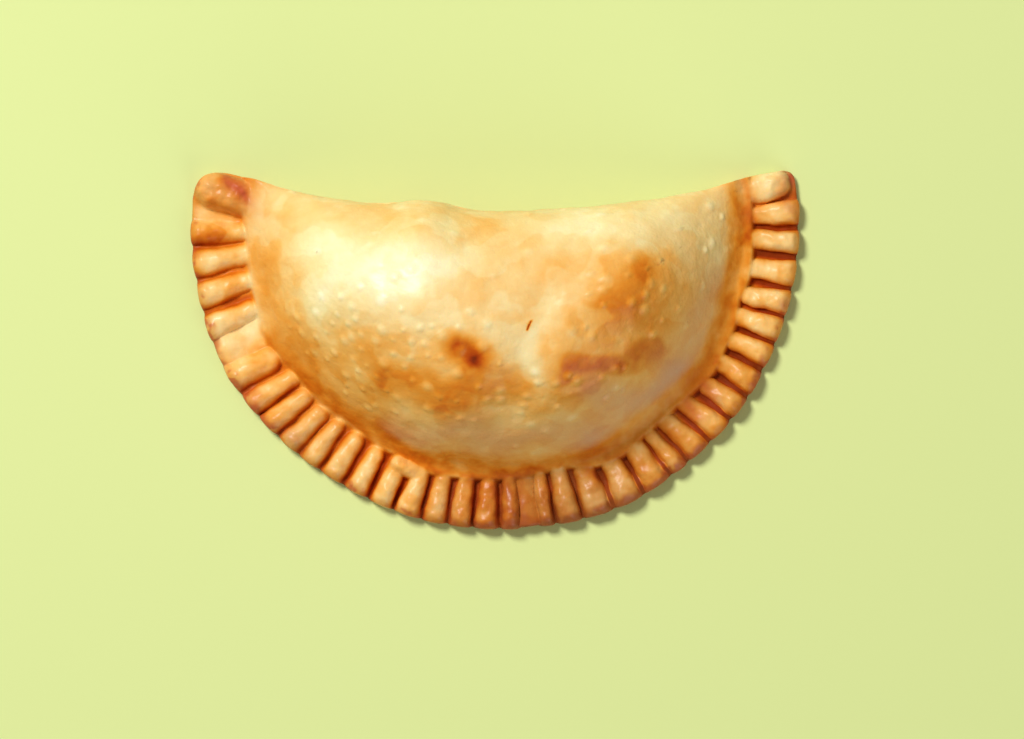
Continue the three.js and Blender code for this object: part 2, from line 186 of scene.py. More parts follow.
def draw(index, purpose):
    """The same draw from 0 to 1, every time, for the same index and purpose."""
    return np.sin(index * 12.9898 + purpose * 78.233) * 43758.5453 % 1


marks = []
for first, pitch, count, leans, width, shallower, length in PRESSES:
    for i in range(count):
        own_length = length + mix(-0.8, 0.8, draw(first + i, 3))
        marks.append((first + i * pitch, mix(*leans, i / count), width, shallower, own_length))
mark_angles, mark_leans, mark_widths, mark_shallows, mark_lengths = np.array(marks).T
ridge_starts = mark_angles[:-1] + mark_widths[:-1] / 2
ridge_ends = mark_angles[1:] - mark_widths[1:] / 2
print(len(marks), "marks and", len(ridge_starts), "ridges")

# %% [markdown]
# ## The foot of the dome
#
# The filling starts a rim's width inside the edge. That line is the foot of the dome. It follows the
# round edge, leans with the fork marks, and at both corners it runs into the fold.

# %% The foot line
RIM_WIDTH = 14.6
STRAIGHT_ANGLE = 88
FOOT_CORNER_ANGLE = 96
STRAIGHT_X = 50
FOLD_ROLL = 1.2
foot_corner = disc_point(DISC_RADIUS - RIM_WIDTH, FOOT_CORNER_ANGLE)


def smoothstep(value, low, high):
    share = np.clip((value - low) / (high - low), 0, 1)
    return share * share * (3 - 2 * share)


def squeeze(value, limit, reach, foot_reach):
    past = np.maximum(0, np.abs(value) - limit)
    return value - np.sign(value) * past * (reach - foot_reach) / (reach - limit)


def foot_line(walk):
    angle = angle_at(walk)
    upright = smoothstep(np.abs(angle), STRAIGHT_ANGLE, CORNER_ANGLE)
    lean = np.interp(angle, mark_angles, mark_leans) * (1 - upright)
    foot_angle = squeeze(angle, STRAIGHT_ANGLE, CORNER_ANGLE, FOOT_CORNER_ANGLE)
    under_rim = disc_point(disc_radius(angle) - RIM_WIDTH, foot_angle + lean)
    x = squeeze(fold_x_at(walk), STRAIGHT_X, CORNER_X, foot_corner[0])
    corner_inset = fold_y(foot_corner[0]) - foot_corner[1]
    inset = mix(FOLD_ROLL, corner_inset, (x / foot_corner[0]) ** 4)
    under_fold = np.stack([x, fold_y(x) - inset], -1)
    return np.where((walk < ROUND_LENGTH)[:, None], under_rim, under_fold)


def angle_on_disc(plan):
    x, y = (plan - DISC_CENTRE).T
    return np.degrees(np.arctan2(x, -y))


def inside_foot(plan):
    """Millimetres inside the foot of the dome, negative over the rim."""
    out = np.linalg.norm(plan - DISC_CENTRE, axis=1)
    return disc_radius(angle_on_disc(plan)) - RIM_WIDTH - out


print("foot corner at", foot_corner.round(1), "mm")

# %% [markdown]
# ## Height of the dough
#
# The rim is two layers pressed thin. The dome is highest in the middle, falls towards both ends, and
# rolls over at the back as a quarter of an ellipse. A product of a front profile and a back profile
# gives both at once, without a crease where they meet. The swells are lumps of the filling that the
# dough has settled over.

# %% Heights
RIM_FLOOR = 2.0
TIP_DEPTH = 0.4
VALLEY_HEIGHT = 4.2
VALLEY_DIP = [(-38, -1.2, 24)]
DOME_START = 12.6
FLOOR_SWELLS = [(-63.8, 0.4, 3), (6.3, 2.0, 2.8)]
FOOT_HEIGHT = 4.8
FOOT_SLOPE = 1.8
FOOT_SOFTNESS = 1.5
EDGE_ROLL = 2.6
CREST_HEIGHT = 34.6
CREST_REACH = 42
CREST_FALL = 0.16
FRONT_RUN = 33
FRONT_ROUNDNESS = 2.2
FRONT_STEEPNESS = 0.92
FOLD_RUN = 27
FOLD_SHARE = 0.15
SETTLED_FROM = 0.3
DOME_SWELLS = [
    # from, to, spread, rise
    ((-30, 10), (-16, 12), 15, 1.6),
    ((-22, -11), (-10, -14), 9, 1.2),
    ((33, 15), (37, 14), 9, 2.2),
    ((18, -8), (32, -4), 9, 1.6),
    ((-16, 27), (-14, 29), 8, 1.0),
    ((11, 10), (1, -18), 5, -1.3),
    ((-6.2, -0.5), (-6.2, -0.5), 3, -0.7),
]
print("lumps and hollows:", len(DOME_SWELLS))

# %% Height of the dough
def distance_to_line(plan, start, end):
    start, end = np.array(start, float), np.array(end, float)
    line = end - start
    share = np.clip((plan - start) @ line / max(line @ line, 1e-9), 0, 1)
    return np.linalg.norm(plan - start - share[:, None] * line, axis=1)


def patches_at(plan, patches, crispness=2):
    """A sum of patches, each round a line. The higher the crispness, the harder their edges."""
    return sum(
        amount * np.exp(-((distance_to_line(plan, start, end) / spread) ** crispness))
        for start, end, spread, amount in patches
    )


def dome_height(plan):
    inside = inside_foot(plan)
    from_foot = np.clip(inside / FRONT_RUN, 0, 1)
    from_fold = np.clip((fold_y(plan[:, 0]) - plan[:, 1]) / FOLD_RUN, 0, 1)
    front = (1 - (1 - from_foot) ** FRONT_ROUNDNESS) ** FRONT_STEEPNESS
    back = mix(FOLD_SHARE, 1, np.sqrt(1 - (1 - from_fold) ** 2))
    full = CREST_HEIGHT * (1 - CREST_FALL * (plan[:, 0] / CREST_REACH) ** 2) - FOOT_HEIGHT
    settled = smoothstep(from_foot, 0, SETTLED_FROM) * smoothstep(from_fold, 0, SETTLED_FROM)
    below_foot = FOOT_SLOPE * np.minimum(0, inside)
    return FOOT_HEIGHT + full * front * back + patches_at(plan, DOME_SWELLS) * settled + below_foot


def rim_height(plan):
    angle, from_edge = angle_on_disc(plan), RIM_WIDTH + inside_foot(plan)
    end = np.interp(angle, mark_angles, mark_lengths)
    shallower = np.interp(angle, mark_angles, mark_shallows) * (1 - smoothstep(from_edge, 3, 8))
    deeper = TIP_DEPTH * smoothstep(from_edge, 2, end - 1)
    at_edge = np.clip(from_edge / EDGE_ROLL, 0, 1)
    pressed = RIM_FLOOR + swells_at(angle, FLOOR_SWELLS) + shallower * at_edge - deeper
    valley = VALLEY_HEIGHT + swells_at(angle, VALLEY_DIP)
    floor = mix(pressed, valley, smoothstep(from_edge, end - 0.7, end + 0.7))
    return mix(floor, FOOT_HEIGHT, smoothstep(from_edge, DOME_START, RIM_WIDTH))


def dough_height(plan):
    """The higher of rim and dome, with a soft hollow where they meet."""
    rim, dome = rim_height(plan), dome_height(plan)
    return FOOT_SOFTNESS * np.logaddexp(rim / FOOT_SOFTNESS, dome / FOOT_SOFTNESS)


print("crest:", round(dough_height(np.array([[0, 5.0]]))[0], 1), "mm high")

# %% [markdown]
# ## Columns
#
# The skin is woven from columns and rings. A column runs from the underside over the edge and the rim
# up to the crest. Columns stand closer together at the fork marks, where the dough turns sharply, and
# each mark lies exactly on a column, so that its bottom stays a clean line.

# %% Where the columns stand
COLUMNS_PER_RIDGE = 20
CROWDING = 0.5
RIM_COLUMN_PITCH = 0.45
FOLD_COLUMN_PITCH = 0.5


def crowded(start, end, count):
    share = np.arange(count) / count
    return mix(start, end, share - CROWDING * np.sin(2 * np.pi * share) / (2 * np.pi))


def even(start, end, pitch):
    return np.linspace(start, end, 2 * round((end - start) / pitch / 2), endpoint=False)


stretches = [even(0, walk_at(ridge_starts[0]), RIM_COLUMN_PITCH)]
for start, end, after in zip(ridge_starts, ridge_ends, [*ridge_starts[1:], mark_angles[-1]]):
    stretches.append(crowded(walk_at(start), walk_at(end), COLUMNS_PER_RIDGE))
    stretches.append(even(walk_at(end), walk_at(after), RIM_COLUMN_PITCH))
stretches.append(even(walk_at(mark_angles[-1]), ROUND_LENGTH, RIM_COLUMN_PITCH))
stretches.append(even(ROUND_LENGTH, WALK_LENGTH, FOLD_COLUMN_PITCH))
walks = np.concatenate(stretches)
print(len(walks), "columns")

# %% [markdown]
# ## The edge and the crest
#
# The edge is drawn in a little at each fork mark, as the fork squeezes the dough out between its tines.
# All columns end on the crest, a line along the top that is curved as the pastry is.

# %% Edge and crest
SCALLOP = 0.35
ROUND_SECTION, ROUND_TO = 2.1, -24
FLAT_SECTION, FLAT_FROM = 3.2, -4
CREST_MIDDLE_Y = 5
CREST_SWEEP = 18
CREST_WIDTH = 0.25
CREST_EVENNESS = 0.15
RIDGE_SQUARENESS = 0.7


def section_power(angle):
    """The ridges at the left are rounder, and those past the front flatter."""
    return mix(ROUND_SECTION, FLAT_SECTION, smoothstep(angle, ROUND_TO, FLAT_FROM))


def ridge_section(across, power):
    """Height across a ridge, 1 on its crown and 0 in the marks beside it."""
    return (1 - np.minimum(1, across) ** power) ** RIDGE_SQUARENESS


def scallop(walk):
    gap = np.clip(np.searchsorted(ridge_starts, angle_at(walk)) - 1, 0, len(ridge_starts) - 1)
    middle = (ridge_starts[gap] + ridge_ends[gap]) / 2
    half_width = (ridge_ends[gap] - ridge_starts[gap]) / 2
    across = np.abs(angle_at(walk) - middle) / half_width
    return SCALLOP * (1 - ridge_section(across, section_power(middle)))


def rimness(plan):
    """1 on the rim and 0 on the dome."""
    return 1 - smoothstep(inside_foot(plan), -4, 0)


def scalloped_edge(walk):
    edge, foot = smooth_edge(walk), foot_line(walk)
    return mix(edge, foot, (scallop(walk) * rimness(edge) / RIM_WIDTH)[:, None])


def crest_share(walk):
    turned = angle_at(walk) / CORNER_ANGLE
    front = mix(np.sin(turned * np.pi / 2), turned, CREST_EVENNESS)
    return np.where(walk < ROUND_LENGTH, front, fold_x_at(walk) / CORNER_X)


def crest_line(walk):
    along = crest_share(walk)
    side = np.where(walk < ROUND_LENGTH, -1, 1)
    aside = side * CREST_WIDTH * (1 - along**2)
    return np.stack([CREST_REACH * along, CREST_MIDDLE_Y + CREST_SWEEP * along**2 + aside], -1)


print("crest ends:", crest_line(np.array([0, ROUND_LENGTH])).round(1).tolist())

# %% [markdown]
# ## Rings
#
# The rings start in the middle of the underside, run out to the edge, roll over it, and climb the rim
# and the dome. Under the edge the dough curls in as a quarter of an ellipse. Half way up the edge a
# fine groove shows that the rim is two layers of dough.

# %% Ring heights
FOLD_TUCK, RIM_TUCK = 7.5, 2.0
FOLD_EDGE_ROLL, RIM_ROLL = 0.04, 0.6
FOLD_WIDEST, RIM_WIDEST = 0.9, 0.45
SEAM_DEPTH = 0.3
UNDER_ROWS = 4
LOWER_ROWS = 6
UPPER_ROWS = 5
RIM_ROWS = 36
DOME_ROWS = 84


def ring(plan, share_of_top=1.0, over=None):
    """A ring of points, each at a share of the height of the dough over a point."""
    over = plan if over is None else over
    top = dough_height(over)
    lift = share_of_top * np.ones(len(plan))
    return {"plan": plan, "over": over, "top": top, "lift": lift, "z": lift * top}


def edge_rings(walk):
    edge = scalloped_edge(walk)
    inwards = crest_line(walk) - edge
    inwards /= np.linalg.norm(inwards, axis=1)[:, None]
    rim = rimness(edge)
    tuck, roll = mix(FOLD_TUCK, RIM_TUCK, rim), mix(FOLD_EDGE_ROLL, RIM_ROLL, rim)
    widest = mix(FOLD_WIDEST, RIM_WIDEST, rim)
    over = edge + inwards * roll[:, None]
    rings = []
    for turn in np.linspace(0, np.pi / 2, LOWER_ROWS, endpoint=False):
        inset, share = tuck * (1 - np.sin(turn)), widest * (1 - np.cos(turn))
        rings.append(ring(edge + inwards * inset[:, None], share, over))
    for turn in np.linspace(0, np.pi / 2, UPPER_ROWS):
        inset, share = roll * (1 - np.cos(turn)), mix(widest, 1, np.sin(turn))
        seam = SEAM_DEPTH * rim * (turn == 0)
        rings.append(ring(edge + inwards * (inset + seam)[:, None], share, over))
    return rings


every_other = walks[::2]
edge_part = edge_rings(walks)
rim_edge, rim_foot = edge_part[-1]["plan"], foot_line(walks)
rim_part = [ring(mix(rim_edge, rim_foot, i / RIM_ROWS)) for i in range(1, RIM_ROWS + 1)]
foot, crest = foot_line(every_other), crest_line(every_other)
dome_part = [ring(mix(foot, crest, i / DOME_ROWS)) for i in range(1, DOME_ROWS + 1)]
under_edge = edge_part[0]["plan"][::2]
under_part = [ring(mix(crest, under_edge, i / UNDER_ROWS), 0) for i in range(UNDER_ROWS)]
rings = [*under_part, *edge_part, *rim_part, *dome_part]
print(len(rings), "rings")

# %% [markdown]
# ## Weave the rings into one closed mesh
#
# Two rings of equal length are joined by quads, and a ring to one with half its points by triangles.
# Along the crest the front and the back meet. Their points differ in number, so they are joined like
# a zip, always from the side that is behind.

# %% Weave
first_corner = np.cumsum([0, *[len(row["plan"]) for row in rings]])
faces = []


def weave(low, high):
    """Faces between two rings of corners. They face outwards."""
    low_next, high_next = np.roll(low, -1), np.roll(high, -1)
    if len(low) == len(high):
        return np.stack([low, low_next, high_next, high], -1).tolist()
    if len(low) > len(high):
        start, middle, end = low[::2], low[1::2], low_next[1::2]
        parts = [(start, middle, high), (middle, high_next, high), (middle, end, high_next)]
    else:
        start, middle, end = high[::2], high[1::2], high_next[1::2]
        parts = [(low, middle, start), (low, low_next, middle), (low_next, end, middle)]
    return [face for part in parts for face in np.stack(part, -1).tolist()]


def zip_crest(corners):
    """Triangles between the front half of a ring on the crest and its back half. They face up."""
    share, front = crest_share(every_other), every_other < ROUND_LENGTH
    near = list(zip(share[front], corners[front]))
    far = list(zip(share[~front], corners[~front]))[::-1]
    triangles, i, j = [], 0, 0
    while i + 1 < len(near) or j + 1 < len(far):
        near_is_behind = j + 1 == len(far) or (i + 1 < len(near) and near[i + 1][0] <= far[j + 1][0])
        if near_is_behind:
            triangles.append([near[i][1], near[i + 1][1], far[j][1]])
            i += 1
        else:
            triangles.append([near[i][1], far[j + 1][1], far[j][1]])
            j += 1
    return triangles


corners = [np.arange(a, b) for a, b in zip(first_corner, first_corner[1:])]
for low, high in zip(corners, corners[1:]):
    faces += weave(low, high)
faces += zip_crest(corners[-1])
faces += [face[::-1] for face in zip_crest(corners[0])]
plan, over = (np.concatenate([row[name] for row in rings]) for name in ("plan", "over"))
top, lift, height = (np.concatenate([row[name] for row in rings]) for name in ("top", "lift", "z"))
print(len(plan), "points,", len(faces), "faces")

# %% [markdown]
# ## Browning
#
# An oven browns what stands up and what the egg wash covers, so a crust has no rule for its colour.
# The browning is a recipe of soft patches, each with a place, a spread and an amount. Some patches
# paint light and shade instead: a painted highlight at the back left of the dome, paler dough on the
# shaded side of a lump, and painted shade on a corner flap. It could be painted by hand, but a recipe
# can be read, and changed one patch at a time.

# %% Browning of the dome
DOME_BASE = 0.3
UNDERSIDE = 0.62
DOME_BROWNING_AND_PAINTED_LIGHT = [
    # from, to, spread, amount
    # painted highlight: pale dough made paler and wider still where the lamp's highlight falls at the
    # back left
    ((-40, 15), (-14, 19), 8.5, -0.24),
    ((12, 27), (36, 30), 6, -0.14),
    ((-49, 20), (-46, 4), 6, 0.24),
    ((-44, 2), (-30, -3), 7, 0.1),
    ((-25, -7), (-5, -13), 6, 0.28),
    ((4, -9), (20, -11), 5, 0.29),
    ((20, 3), (36, 6), 6, 0.16),
    ((14, -4.4), (37, 0), 4.5, 0.2),
    ((9, 2), (9, -9), 2.2, -0.2),
    ((34, 17.5), (32.5, 14.5), 5, 0.22),
    ((16, 17), (24, 8), 6.5, 0.13),
    ((-2.5, -1), (-4, -8), 4.5, 0.16),
    ((24, -9), (38, -5), 4.5, 0.16),
    # painted light: paler where the lump's lower side lies in shade
    ((38, 9), (39, 8), 4, -0.1),
    ((-27, 27.5), (9, 25), 2.6, 0.09),
    ((-6, 14), (2, 21), 3, 0.07),
    # round the foot of the dome
    ((-55, 24), (-50, 2), 2.5, 0.1),
    ((-42, -5), (-25, -18), 4.5, 0.24),
    ((-24, -20), (22, -21), 4.5, 0.22),
    ((22, -20), (42, -7), 4.5, 0.16),
    ((44, -5), (49, 14), 5, 0.16),
]
CRISP_BROWNING_AND_HIGHLIGHT_EDGE = [
    ((29, 15), (36, 12), 9, 0.19),
    ((36, 19), (39, 11), 5, 0.08),
    ((16, -5), (37, -0.8), 2.8, 0.18),
    ((-23, -8), (-8, -9), 5, 0.12),
    # golden dough whose crisp upper edge outlines the painted highlight above it
    ((-34, 1), (-12, 1), 3.4, 0.1),
    ((-44, 22), (-30, 26), 4, -0.06),
]
SPOTS = [
    # a burst blister, its hole, and a slit
    ((-7.4, 0.2), (-4.8, -1.4), 3.7, 0.33),
    ((-9.6, 1.3), (-8.6, 0.9), 2.2, 0.05),
    ((-6.4, -0.2), (-5.4, -1.6), 2.6, 0.18),
    ((8.0, 6.0), (7.3, 4.2), 0.3, 0.68),
]
print("patches on the dome:", len(DOME_BROWNING_AND_PAINTED_LIGHT) + len(CRISP_BROWNING_AND_HIGHLIGHT_EDGE) + len(SPOTS))

# %% Browning of the rim
RIM_BASE = 0.42
RIM_BROWNING = [
    # angle, amount, spread
    (-87, 0.14, 2),
    (-79, 0.06, 2),
    (-66, -0.14, 5),
    (-36, 0.07, 10),
    (-22, -0.06, 5),
    (-1, 0.23, 12),
    (30, 0.06, 8),
    (54, 0.14, 14),
    (93, 0.02, 8),
]
RIM_SPOTS_AND_FLAP_SHADE = [
    # from, to, spread, amount
    # painted shade: darker along the lower flank of the left corner flap, the side away from the lamp
    ((-67, 34), (-56.6, 29.8), 1.6, 0.3),
    ((-67, 25.4), (-63.6, 25.2), 1.8, 0.24),
    ((-61, 39), (-57.5, 36.5), 2.4, 0.3),
    ((-56, 26), (-52, 9), 2.5, -0.15),
    ((-50.5, 2), (-54, -2), 2.4, 0.14),
    ((57, 40), (58, 30), 2.4, 0.3),
    ((65, 38), (61, 37), 4, -0.14),
    ((3, -37), (11, -36), 4.5, 0.1),
    ((21, -26.5), (23, -29), 2.2, 0.3),
]
print("patches on the rim:", len(RIM_BROWNING) + len(RIM_SPOTS_AND_FLAP_SHADE))

# %% Browning and painted light of each point
def wobbled(plan):
    """The same places, shifted by a millimetre or two to and fro, so that no patch is a plain oval."""
    x, y = plan.T
    aside = 1.2 * np.sin(y / 2.9 + 1.7 * np.sin(x / 4.7)) + 0.3 * np.sin(y / 1.3 + x / 2.1)
    along = 1.2 * np.sin(x / 3.3 + 1.9 * np.sin(y / 5.3)) + 0.3 * np.sin(x / 1.5 - y / 1.9)
    return plan + np.column_stack([aside, along])


# browning of the dough, together with the painted highlight, painted light and painted shade of the
# patches
def browning(plan):
    inside = inside_foot(plan)
    on_rim = 1 - smoothstep(inside, -3.5, -0.5)
    dome = DOME_BASE + patches_at(wobbled(plan), DOME_BROWNING_AND_PAINTED_LIGHT)
    dome += patches_at(wobbled(plan), CRISP_BROWNING_AND_HIGHLIGHT_EDGE, 6) + patches_at(plan, SPOTS, 3)
    rim = RIM_BASE + swells_at(angle_on_disc(plan), RIM_BROWNING) + patches_at(plan, RIM_SPOTS_AND_FLAP_SHADE)
    return mix(dome, rim, on_rim)


browned = np.where(lift > 0, browning(plan), UNDERSIDE)
print("browning from", browned.min().round(2), "to", browned.max().round(2))

# %% [markdown]
# ## Pimples and tints
#
# More recipes of the same kind, with the same columns: where the dough has pimples, where flour dusts
# the foot of the dome, where the tips are red, and, by angle, where the rim is toasted brown, which at
# the front is also painted shade.

# %% Where the crust is pimpled, dusty or red, and where the rim is toasted with painted shade
SPARSE = 0.1
PIMPLED = [
    ((-40, 4), (-8, 3), 6, 0.9),
    ((-30, -8), (10, -14), 5, 0.6),
    ((18, 5), (40, 7), 4, 0.7),
    ((26, 14), (36, 16), 6, 0.6),
    ((10, -9), (26, -7), 4, 0.7),
]
DUSTY = [
    ((-20, -19), (22, -20), 4, 1.0),
    ((22, -19), (42, -6), 4, 0.9),
    ((24, -11), (40, -8), 3.5, 0.9),
    ((44, -5), (49, 16), 5, 1.0),
]
REDDENED = [
    ((-66, 37), (-56, 35), 4.5, 0.8),
    ((-61, 39.5), (-57, 36.5), 1.8, 2.0),
    ((56.5, 40), (57.5, 30), 2.0, 0.8),
    ((67, 40), (68, 33), 1.8, 1.0),
    ((65.5, 10.5), (67, 10), 1.6, 1.4),
    ((49, -8.6), (51, -9.6), 1.6, 1.4),
    ((44.6, -13), (46, -14), 1.5, 1.4),
    ((-57, -9), (-55, -11), 1.8, 1.0),
    ((-48.6, -18), (-46, -20.5), 1.6, 1.0),
    ((-12, -36), (12, -38), 4, 0.4),
]
# browner rim by angle: toasted, and at the front also painted shade where the rim gets less light
TOASTED_AND_SHADED = [
    (-40, 0.2, 8),
    (-8, 0.32, 7),
    (6, 0.5, 8),
    (21, 0.46, 9),
    (38, 0.24, 8),
    (54, 0.16, 8),
    (86, 0.08, 8),
]
print("tinted patches:", len(DUSTY) + len(REDDENED) + len(TOASTED_AND_SHADED))

# %% [markdown]
# ## The insides of the fork marks
#
# The marks and the valley behind them are darker than the ridges: browner, and darker still with
# painted shade, as they lie low. Each point is told how far it lies behind the marks, and how much of
# it is the inside of a mark.

# %% Marks and valley
NARROW = 1.5
GROOVE_REACH = 2.0
# how strongly the valley darkens at each angle, with browning and painted shade together
VALLEY_SWELLS = [(-82, -0.95, 17), (-63, -0.4, 5), (-12, 0.24, 9), (42, -0.36, 19), (99, -0.4, 4)]
# how strongly the marks darken at each angle, with browning and painted shade together
GROOVE_SWELLS = [(-97, -0.4, 6), (-80, -0.35, 12), (-55, -0.3, 8), (-39, -0.3, 8)]
GROOVE_SWELLS += [(4, -0.4, 6), (96, -0.4, 5)]


def past_marks(plan):
    """Millimetres behind the inner ends of the fork marks, negative between them."""
    end = np.interp(angle_on_disc(plan), mark_angles, mark_lengths)
    return RIM_WIDTH + inside_foot(plan) - end


def groove_share(plan):
    """1 in the middle of a fork mark, fading over its walls and behind its inner end."""
    narrow = mark_widths < NARROW
    angle = angle_on_disc(plan)[:, None]
    apart = np.abs(angle - mark_angles[narrow]) - mark_widths[narrow] / 2
    away = np.radians(np.maximum(0, apart.min(1))) * DISC_RADIUS
    strength = 1 + swells_at(angle[:, 0], GROOVE_SWELLS)
    in_marks = 1 - smoothstep(past_marks(plan), -0.4, 0.9)
    return strength * np.exp(-((away / GROOVE_REACH) ** 2)) * in_marks


print("the deepest in a mark:", groove_share(plan).max().round(2))

# %% [markdown]
# ## The mesh and its attributes
#
# The woven skin becomes a mesh at the real size. It is moved by the small step that puts its centre on
# the solid's centre, so that both share one frame. What each point knows of its place travels with the
# mesh as attributes, so that the later steps give it the right relief and colour.

# %% The mesh with its attributes
centre = (solid_low + solid_high) / 2 / MM
middle = (plan.min(0) + plan.max(0)) / 2
shift = np.array([centre.x, centre.y]) - middle
print("shift to the solid's centre, mm:", shift.round(2))

mesh = bpy.data.meshes.new("crust")
mesh.from_pydata(np.column_stack([plan + shift, height]) * MM, [], faces)
mesh.shade_smooth()


def put(name, data):
    """A new object of the mesh, lamp or camera, in the scene."""
    piece = bpy.data.objects.new(name, data)
    bpy.context.collection.objects.link(piece)
    return piece


def tell(mesh, name, values):
    """Stores a number or a vector for every point of the mesh."""
    kind = "FLOAT_VECTOR" if values.ndim == 2 else "FLOAT"
    field = mesh.attributes.new(name, kind, "POINT")
    field.data.foreach_set("vector" if values.ndim == 2 else "value", values.ravel())


rolled = np.clip((inside_foot(over) + RIM_WIDTH) / EDGE_ROLL, 0, 1)
knowledge = {
    "over": np.column_stack([over + shift, np.zeros(len(over))]) * MM,
    "top": top * MM,
    "lift": lift,
    "roll": np.sqrt(1 - (1 - rolled) ** 2),
    "inside": inside_foot(plan),
    "past_marks": past_marks(plan),
    "groove": groove_share(plan),
    "valley": 1 + swells_at(angle_on_disc(plan), VALLEY_SWELLS),
    "browned": browned,
    "toasted": swells_at(angle_on_disc(plan), TOASTED_AND_SHADED),
    "dusty": patches_at(wobbled(plan), DUSTY),
    "reddened": patches_at(wobbled(plan), REDDENED),
    "pimpled": SPARSE + patches_at(plan, PIMPLED),
}
for name, values in knowledge.items():
    tell(mesh, name, values)
crust = put("crust", mesh)
print("attributes:", [field.name for field in mesh.attributes])

# %% [markdown]
# ## A hand for node trees
#
# Geometry and materials are both made of nodes. A node for every sum makes long scripts, so one small
# class wraps a socket and lets Python's own signs add the Math nodes. Any other node comes from one
# method, which takes the node's type, its settings and its sockets.

# %% Wires
class Wire:
    """An output socket that can stand in a sum, as a number can."""

    def __init__(self, tree, socket):
        self.tree = tree
        self.socket = socket

    def __add__(self, other):
        return self.tree.maths("ADD", self, other)

    def __sub__(self, other):
        return self.tree.maths("SUBTRACT", self, other)

    def __mul__(self, other):
        return self.tree.maths("MULTIPLY", self, other)

    def __truediv__(self, other):
        return self.tree.maths("DIVIDE", self, other)

    def __pow__(self, other):
        return self.tree.maths("POWER", self, other)

    def __rsub__(self, other):
        return self.tree.maths("SUBTRACT", other, self)

    def __rtruediv__(self, other):
        return self.tree.maths("DIVIDE", other, self)

    __radd__ = __add__
    __rmul__ = __mul__


print("wires can stand in sums")

# %% Trees
VECTOR_TO_NUMBER = ("DOT_PRODUCT", "LENGTH", "DISTANCE")


class Tree:
    """A node tree that grows one node for each call."""

    def __init__(self, nodes):
        self.nodes = nodes

    def add(self, kind, settings=None, sockets=None, output=0):
        node = self.nodes.nodes.new(kind)
        for name, value in (settings or {}).items():
            if name == "stops":
                set_stops(node.color_ramp, value)
            else:
                setattr(node, name, value)
        for name, value in (sockets or {}).items():
            self.join(value, pick(node.inputs, name))
        return node if output is None else Wire(self, pick(node.outputs, output))

    def join(self, value, socket):
        if isinstance(value, Wire):
            self.nodes.links.new(value.socket, socket)
        elif socket.type == "VECTOR" and not isinstance(value, (tuple, list)):
            socket.default_value = (value, value, value)
        else:
            socket.default_value = value

    def maths(self, operation, *values):
        settings, sockets = {"operation": operation}, dict(enumerate(values))
        wires = [value for value in values if isinstance(value, Wire)]
        if any(wire.socket.type == "VECTOR" for wire in wires):
            output = "Value" if operation in VECTOR_TO_NUMBER else "Vector"
            return self.add("ShaderNodeVectorMath", settings, sockets, output)
        return self.add("ShaderNodeMath", settings, sockets)


def pick(sockets, name):
    """A socket by its name, or by its place among those in use."""
    in_use = [socket for socket in sockets if socket.enabled]
    return in_use[name] if isinstance(name, int) else next(s for s in in_use if s.name == name)


def set_stops(ramp, stops):
    for _ in range(len(stops) - len(ramp.elements)):
        ramp.elements.new(0.5)
    for element, (position, colour) in zip(ramp.elements, stops):
        element.position = position
        element.color = (*colour, 1)


print("trees can grow")

# %% Trees that shape a mesh
def new_shaper(name, sizes):
    """A Geometry Nodes tree with a named input for each size."""
    nodes = bpy.data.node_groups.new(name, "GeometryNodeTree")
    for direction in ("OUTPUT", "INPUT"):
        nodes.interface.new_socket("Geometry", in_out=direction, socket_type="NodeSocketGeometry")
    for size, value in sizes.items():
        kind = type(value).__name__.capitalize()
        nodes.interface.new_socket(size, in_out="INPUT", socket_type="NodeSocket" + kind)
    tree = Tree(nodes)
    source = tree.add("NodeGroupInput", output=None)
    given = {socket.name: Wire(tree, socket) for socket in source.outputs if socket.name}
    return tree, given


def finish_shaper(tree, geometry, material):
    real = tree.add("GeometryNodeRealizeInstances", sockets={"Geometry": geometry})
    coated = tree.add("GeometryNodeSetMaterial", sockets={"Geometry": real, "Material": material})
    tree.add("NodeGroupOutput", sockets={"Geometry": coated}, output=None)


def shape_with(piece, tree, sizes):
    modifier = piece.modifiers.new(tree.nodes.name, "NODES")
    modifier.node_group = tree.nodes
    for socket in tree.nodes.interface.items_tree:
        if socket.in_out == "INPUT" and socket.name in sizes:
            modifier[socket.identifier] = sizes[socket.name]


print("shapers can be set on a piece")

# %% Nodes that are used often
def attribute(tree, name, kind="FLOAT"):
    return tree.add("GeometryNodeInputNamedAttribute", {"data_type": kind}, {"Name": name})


def noise(tree, where, scale, detail=2.0, roughness=0.5, output="Fac"):
    sockets = {"Vector": where, "Scale": scale, "Detail": detail, "Roughness": roughness}
    return tree.add("ShaderNodeTexNoise", {"noise_dimensions": "3D"}, sockets, output)


def sample(geometry, value, index):
    kind = "FLOAT_VECTOR" if value.socket.type == "VECTOR" else "FLOAT"
    sockets = {"Geometry": geometry, "Value": value, "Index": index}
    return value.tree.add("GeometryNodeSampleIndex", {"data_type": kind, "domain": "POINT"}, sockets)


def store(tree, geometry, name, value):
    settings = {"data_type": "FLOAT", "domain": "POINT"}
    sockets = {"Geometry": geometry, "Name": name, "Value": value}
    return tree.add("GeometryNodeStoreNamedAttribute", settings, sockets)


def move(tree, geometry, offset):
    return tree.add("GeometryNodeSetPosition", sockets={"Geometry": geometry, "Offset": offset})


def fade(value, low, high):
    """0 below the low mark, 1 above the high one, and a smooth turn between."""
    sockets = {"Value": value, "From Min": low, "From Max": high}
    return value.tree.add("ShaderNodeMapRange", {"interpolation_type": "SMOOTHSTEP"}, sockets)


print("node helpers ready")

# %% [markdown]
# ## Guides for the ridges
#
# Each ridge between two fork marks is a bar with round ends, so it needs only two points, two radii
# and a rise. These guides are the points of a small mesh that never shows. Three more bars close one
# mark that sprang open again, and fold the rim over at both corners.

